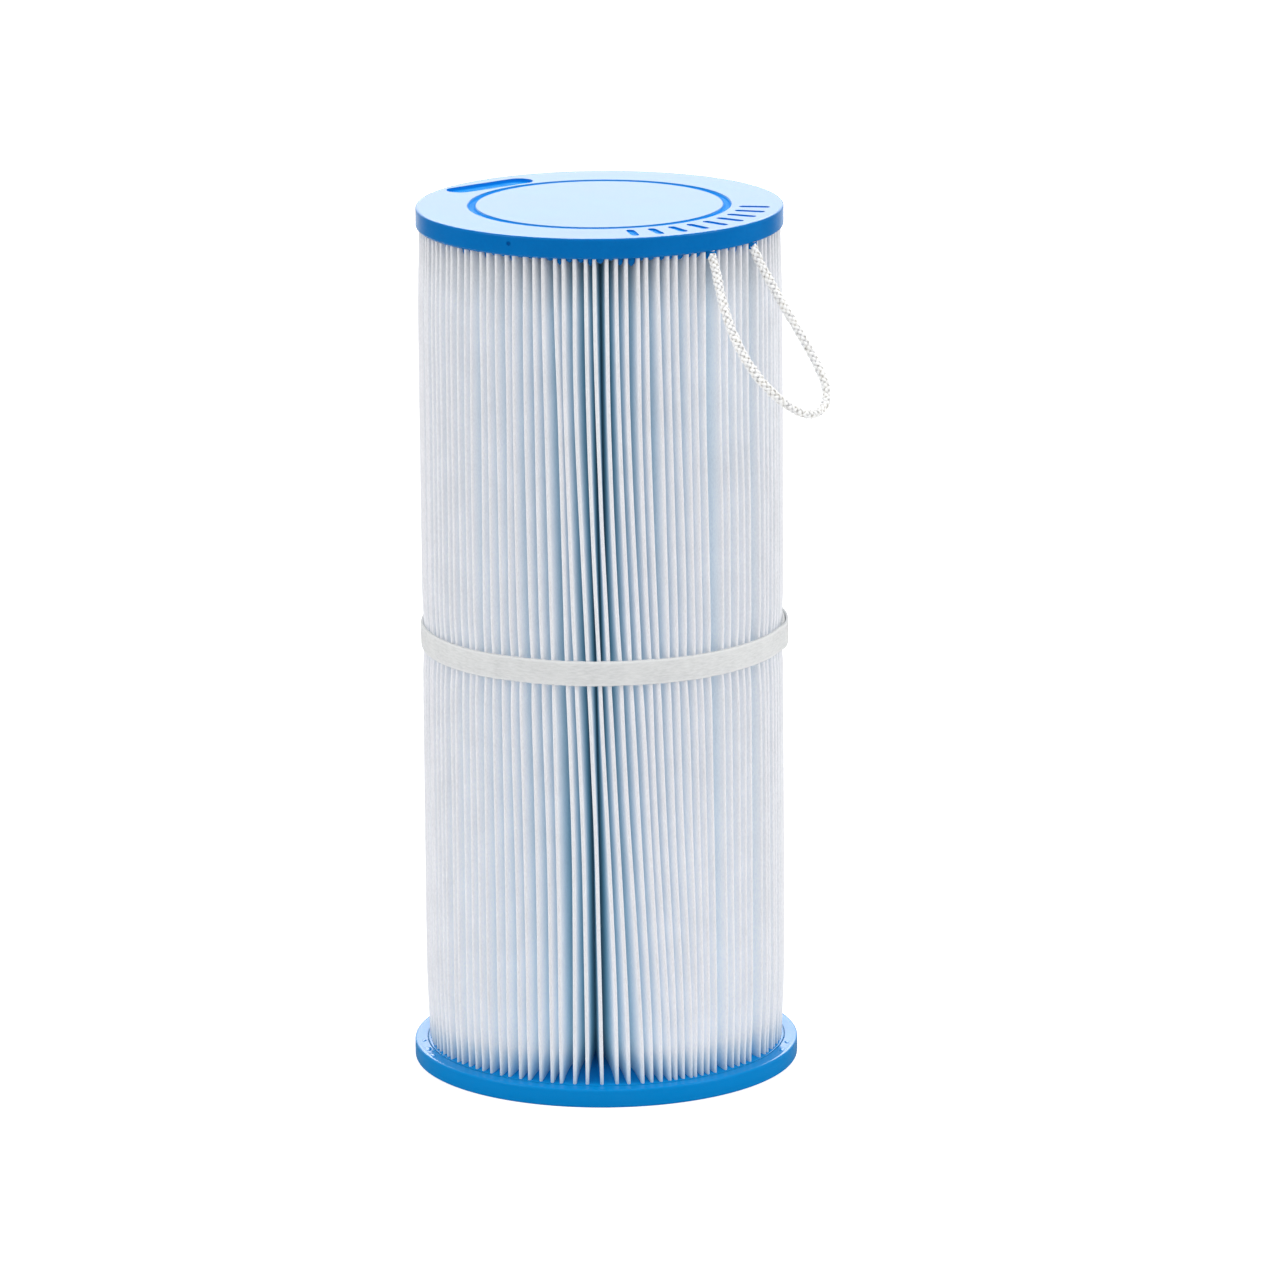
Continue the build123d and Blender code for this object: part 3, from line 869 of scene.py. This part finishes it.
def braided_cord():
    """Eight yarns plaited over and under round a solid filling, along the cord's centreline."""
    line = cord_centreline()
    line = line[line[:, 2] < CAP_UNDERSIDE + 1.2]
    path, travelled = evenly(line, CORD_STEP)
    tangent = np.gradient(path, axis=0)
    tangent /= np.linalg.norm(tangent, axis=1)[:, None]
    _, along, down = loop_axes()
    binormal = np.array(along.cross(down))
    side = np.cross(binormal, tangent)

    random = np.random.default_rng(SEED + 4)
    points, faces, yarn = [], [], []

    def tube(centre, across, outward, width, height, sides, tone_with_painted_shade):
        start = len(points)
        turn = np.linspace(0, 2 * np.pi, sides, endpoint=False)
        for n in range(len(centre)):
            w, h = width[n] / 2, height[n] / 2
            for t in turn:
                points.append(centre[n] + across[n] * w * math.cos(t) + outward[n] * h * math.sin(t))
                # Painted light: the yarn attribute's last value sets how bright the yarn is painted, higher
                # on its outer side and where it passes over.
                yarn.append((travelled[n] * MM, math.cos(t), tone_with_painted_shade[n] * (0.55 + 0.45 * math.sin(t))))
        faces.extend(grid_faces(len(centre), sides, start, False, True, True))
        faces.append([start + k for k in range(sides)])
        faces.append([start + (len(centre) - 1) * sides + k for k in range(sides)][::-1])

    # The filling is painted in full shade.
    core = np.full(len(path), FILLING)
    tube(path, -side, np.broadcast_to(binormal, path.shape), core, core, 8, np.zeros(len(path)))
    paces = (0.53, 0.91, 1.67, 2.9, 4.3)
    swell = 1.04 + sum(0.035 * np.sin(travelled * pace + random.uniform(0, 6)) for pace in paces)
    for way in (1, -1):
        for n in range(YARNS_EACH_WAY):
            slip = np.zeros(len(path))
            for _ in range(3):
                pace = random.uniform(0.3, 2.4)
                slip += 0.13 * np.sin(travelled * pace + random.uniform(0, 6))
            angle = way * 2 * np.pi * travelled / YARN_LAY + 2 * np.pi * n / YARNS_EACH_WAY + slip
            over = way * np.cos(2 * np.pi * YARNS_EACH_WAY * travelled / YARN_LAY)
            outward = side * np.cos(angle)[:, None] + binormal * np.sin(angle)[:, None]
            ring = -side * np.sin(angle)[:, None] + binormal * np.cos(angle)[:, None]
            radius = YARN_RADIUS * swell + YARN_SWING * over
            centre = path + outward * radius[:, None]
            pitch = math.atan(2 * np.pi * YARN_PITCH_RADIUS / YARN_LAY)
            across = ring * math.cos(pitch) - way * tangent * math.sin(pitch)
            width = (YARN_WIDTH + 0.06 * np.sin(travelled * 1.7 + n)) * swell
            height = np.full(len(path), YARN_HEIGHT)
            # Painted shade: a yarn is painted darker where it passes under the others.
            tube(centre, across, outward, width, height, 8, 0.5 + 0.5 * over)
    obj = new_mesh("braided_cord", points, faces)
    obj.data.attributes.new("yarn", "FLOAT_VECTOR", "POINT").data.foreach_set("vector", np.ravel(yarn))
    return obj, path


# ---------------------------------------------------------------- studio


def floor():
    """Large plain floor, which isn't part of the object."""
    half = FLOOR_HALF_WIDTH
    corners = [(-half, -half, 0), (half, -half, 0), (half, half, 0), (-half, half, 0)]
    made = new_mesh("studio_floor", corners, [[0, 1, 2, 3]], False)
    made.data.materials.append(floor_material())


def backdrop(tree, direction):
    """What reflections see of the sky: an even grey, with a bright band low in the +Y half."""
    height = part_of(tree, direction, "Z")
    low = remap(tree, height, 0.0, 0.06, 0, 1)
    high = remap(tree, height, 0.45, 0.70, 1, 0)
    band = math_node(tree, "MULTIPLY", math_node(tree, "MULTIPLY", low, high), toward_back(tree, direction))
    band = math_node(tree, "MULTIPLY", band, remap(tree, height, 0.27, 0.42, 1, SKY_HOT))
    return remap(tree, band, 0, SKY_HOT, SKY_AROUND, SKY_HOT * SKY_REFLECTED)


def chosen(tree, is_ray, other, this):
    """This strength for rays of one type, and the other for all the rest."""
    made = node(tree, "Mix", data_type="FLOAT")
    tree.links.new(is_ray, made.inputs[0])
    tree.links.new(other, made.inputs[2])
    if isinstance(this, float):
        made.inputs[3].default_value = this
    else:
        tree.links.new(this, made.inputs[3])
    return made.outputs[0]


def sky():
    """White sky to the eye, a soft dome as light, brighter overhead, and the backdrop in reflections."""
    world = bpy.data.worlds.new("studio")
    bpy.context.scene.world = world
    world.use_nodes = True
    # Sampled as a light, the sky would show its reflected strengths to matt surfaces too
    world.cycles.sampling_method = "NONE"
    tree = world.node_tree
    direction = node(tree, "TexCoord").outputs["Generated"]
    dome = remap(tree, part_of(tree, direction, "Z"), 0.1, 0.9, SKY_HORIZON, SKY_ZENITH)
    rays = node(tree, "LightPath").outputs
    strength = chosen(tree, rays["Is Diffuse Ray"], backdrop(tree, direction), dome)
    strength = chosen(tree, rays["Is Camera Ray"], strength, SKY_SEEN)
    background = tree.nodes["Background"]
    background.inputs["Color"].default_value = (1, 1, 1, 1)
    tree.links.new(strength, background.inputs["Strength"])


def soft_boxes():
    """Square lights round the object, turned towards its lower half."""
    for name, place, size, power in SOFTBOXES:
        data = bpy.data.lights.new(name, "AREA")
        data.size = size
        data.energy = power
        lamp = bpy.data.objects.new(name, data)
        lamp.location = place
        lamp.rotation_euler = (Vector(LIT_POINT) - Vector(place)).to_track_quat("-Z", "Y").to_euler()
        bpy.context.scene.collection.objects.link(lamp)


def studio():
    """Floor, sky, lights and plain colours."""
    floor()
    sky()
    soft_boxes()
    settings = bpy.context.scene.view_settings
    settings.view_transform = "Standard"
    settings.look = "None"


def camera():
    """A long lens, set back and a little above the top face."""
    data = bpy.data.cameras.new("camera")
    data.sensor_width = 36
    data.lens = CAMERA_LENS
    data.shift_x = CAMERA_SHIFT
    data.clip_end = 100
    obj = bpy.data.objects.new("camera", data)
    obj.location = CAMERA_PLACE
    obj.rotation_euler = (math.radians(CAMERA_PITCH), 0, 0)
    obj.rotation_euler.rotate_axis("Z", CAMERA_ROLL)
    bpy.context.scene.collection.objects.link(obj)
    bpy.context.scene.camera = obj


# ---------------------------------------------------------------- build

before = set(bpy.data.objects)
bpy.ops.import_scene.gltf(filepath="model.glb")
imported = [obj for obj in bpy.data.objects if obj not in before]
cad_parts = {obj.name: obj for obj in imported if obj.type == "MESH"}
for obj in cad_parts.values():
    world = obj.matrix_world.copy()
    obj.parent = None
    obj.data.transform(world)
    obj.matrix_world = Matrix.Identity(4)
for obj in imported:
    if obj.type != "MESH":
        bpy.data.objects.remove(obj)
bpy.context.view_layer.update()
camera()

urethane = urethane_material()
media_felt = media_material()
yarn_finish = cord_material()
node_finishes = {
    "top_end_cap": urethane,
    "bottom_end_cap": urethane,
    "pleated_media": media_felt,
    "core_tube": core_material(),
    "seam_bead": bead_material(),
    "rope_handle": yarn_finish,
    "rope_root_front": yarn_finish,
    "rope_root_rear": yarn_finish,
    "rope_tail_front": yarn_finish,
    "rope_tail_rear": yarn_finish,
}
for name, finish in node_finishes.items():
    for material_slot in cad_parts[name].material_slots:
        material_slot.material = finish

middle, along, down = loop_axes()
cord, cord_path = braided_cord()
cord.data.materials.append(yarn_finish)
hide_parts("rope_handle", "rope_root_front", "rope_root_rear")
front_exit = on_circle(EXIT_RADIUS, FRONT_EXIT, CAP_UNDERSIDE) * MM
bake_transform(cord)

sheet = pleated_sheet()
sheet.data.materials.append(media_felt)
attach(sheet, "cartridge")
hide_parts("pleated_media")

glue = seam_glue(tip_azimuths())
glue.data.materials.append(node_finishes["seam_bead"])
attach(glue, "cartridge")
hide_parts("seam_bead")

lower_cap = bottom_cap()
lower_cap.data.materials.append(urethane)
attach(lower_cap, "cartridge")
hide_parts("bottom_end_cap")

lumps = urethane_lumps(tip_azimuths())
lumps.data.materials.append(urethane)
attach(lumps, "cartridge")

band = strap()
band.data.materials.append(band_material())
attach(band, "cartridge")
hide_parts("support_band")

studio()
